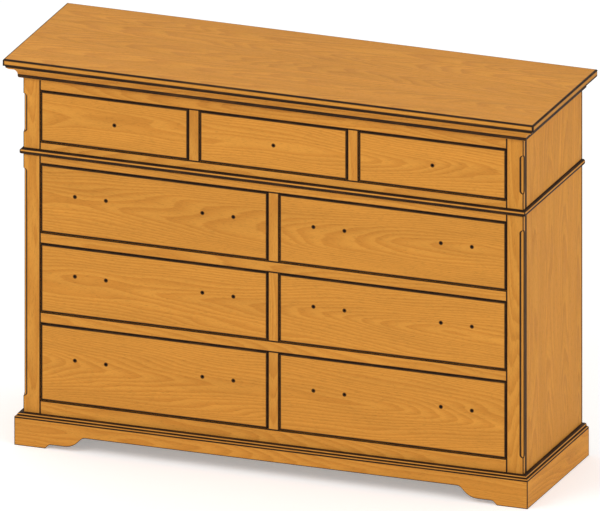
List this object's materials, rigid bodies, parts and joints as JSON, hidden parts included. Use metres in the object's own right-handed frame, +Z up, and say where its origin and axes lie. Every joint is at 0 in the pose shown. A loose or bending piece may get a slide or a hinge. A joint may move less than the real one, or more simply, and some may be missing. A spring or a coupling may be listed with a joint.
{
  "type": "dresser",
  "caption": "Wooden dresser with a moulded crown, waist bead and scrolled plinth; a row of small inset drawers over rows of wide ones, all sliding.",
  "frame": {"origin": "on the floor under the middle of the top slab", "axes": "+X to the right seen from the front, -Y out of the front, +Z up"},
  "size_m": [1.524, 0.489, 1.103],
  "materials": {
    "show_wood": "satin",
    "inner_wood": "satin",
    "screw_steel": "satin"
  },
  "bodies": {
    "case": {"top_slab": "show_wood", "crown_front": "show_wood", "crown_left": "show_wood", "crown_right": "show_wood", "stile_left": "show_wood", "stile_right": "show_wood", "side_left": "show_wood", "side_right": "show_wood", "top_rail": "show_wood", "waist_rail": "show_wood", "upper_middle_rail": "show_wood", "lower_middle_rail": "show_wood", "bottom_rail": "show_wood", "top_divider_left": "show_wood", "top_divider_right": "show_wood", "lower_dividers": "show_wood", "waist_bead_front": "show_wood", "waist_bead_left": "show_wood", "waist_bead_right": "show_wood", "plinth_front": "show_wood", "plinth_left": "show_wood", "plinth_right": "show_wood", "back_panel": "inner_wood", "bottom_web_frame": "inner_wood", "lower_web_frame": "inner_wood", "upper_web_frame": "inner_wood", "waist_kicker_frame": "inner_wood", "waist_runner_frame": "inner_wood", "top_kicker_frame": "inner_wood", "drawer_guides": "inner_wood", "drawer_stops": "inner_wood", "case_blocks": "inner_wood", "screws": "screw_steel"},
    "top_left_drawer": {"top_left_drawer_front": "show_wood", "top_left_drawer_box": "inner_wood", "top_left_drawer_bottom": "inner_wood"},
    "top_middle_drawer": {"top_middle_drawer_front": "show_wood", "top_middle_drawer_box": "inner_wood", "top_middle_drawer_bottom": "inner_wood"},
    "top_right_drawer": {"top_right_drawer_front": "show_wood", "top_right_drawer_box": "inner_wood", "top_right_drawer_bottom": "inner_wood"},
    "second_left_drawer": {"second_left_drawer_front": "show_wood", "second_left_drawer_box": "inner_wood", "second_left_drawer_bottom": "inner_wood"},
    "second_right_drawer": {"second_right_drawer_front": "show_wood", "second_right_drawer_box": "inner_wood", "second_right_drawer_bottom": "inner_wood"},
    "third_left_drawer": {"third_left_drawer_front": "show_wood", "third_left_drawer_box": "inner_wood", "third_left_drawer_bottom": "inner_wood"},
    "third_right_drawer": {"third_right_drawer_front": "show_wood", "third_right_drawer_box": "inner_wood", "third_right_drawer_bottom": "inner_wood"},
    "bottom_left_drawer": {"bottom_left_drawer_front": "show_wood", "bottom_left_drawer_box": "inner_wood", "bottom_left_drawer_bottom": "inner_wood"},
    "bottom_right_drawer": {"bottom_right_drawer_front": "show_wood", "bottom_right_drawer_box": "inner_wood", "bottom_right_drawer_bottom": "inner_wood"}
  },
  "joints": [
    {"name": "top_left_slide", "type": "slide", "parent": "case", "child": "top_left_drawer", "axis": [0, -1, 0], "range_m": [0, 0.3]},
    {"name": "top_middle_slide", "type": "slide", "parent": "case", "child": "top_middle_drawer", "axis": [0, -1, 0], "range_m": [0, 0.3]},
    {"name": "top_right_slide", "type": "slide", "parent": "case", "child": "top_right_drawer", "axis": [0, -1, 0], "range_m": [0, 0.3]},
    {"name": "second_left_slide", "type": "slide", "parent": "case", "child": "second_left_drawer", "axis": [0, -1, 0], "range_m": [0, 0.3]},
    {"name": "second_right_slide", "type": "slide", "parent": "case", "child": "second_right_drawer", "axis": [0, -1, 0], "range_m": [0, 0.3]},
    {"name": "third_left_slide", "type": "slide", "parent": "case", "child": "third_left_drawer", "axis": [0, -1, 0], "range_m": [0, 0.3]},
    {"name": "third_right_slide", "type": "slide", "parent": "case", "child": "third_right_drawer", "axis": [0, -1, 0], "range_m": [0, 0.3]},
    {"name": "bottom_left_slide", "type": "slide", "parent": "case", "child": "bottom_left_drawer", "axis": [0, -1, 0], "range_m": [0, 0.3]},
    {"name": "bottom_right_slide", "type": "slide", "parent": "case", "child": "bottom_right_drawer", "axis": [0, -1, 0], "range_m": [0, 0.3]}
  ]
}
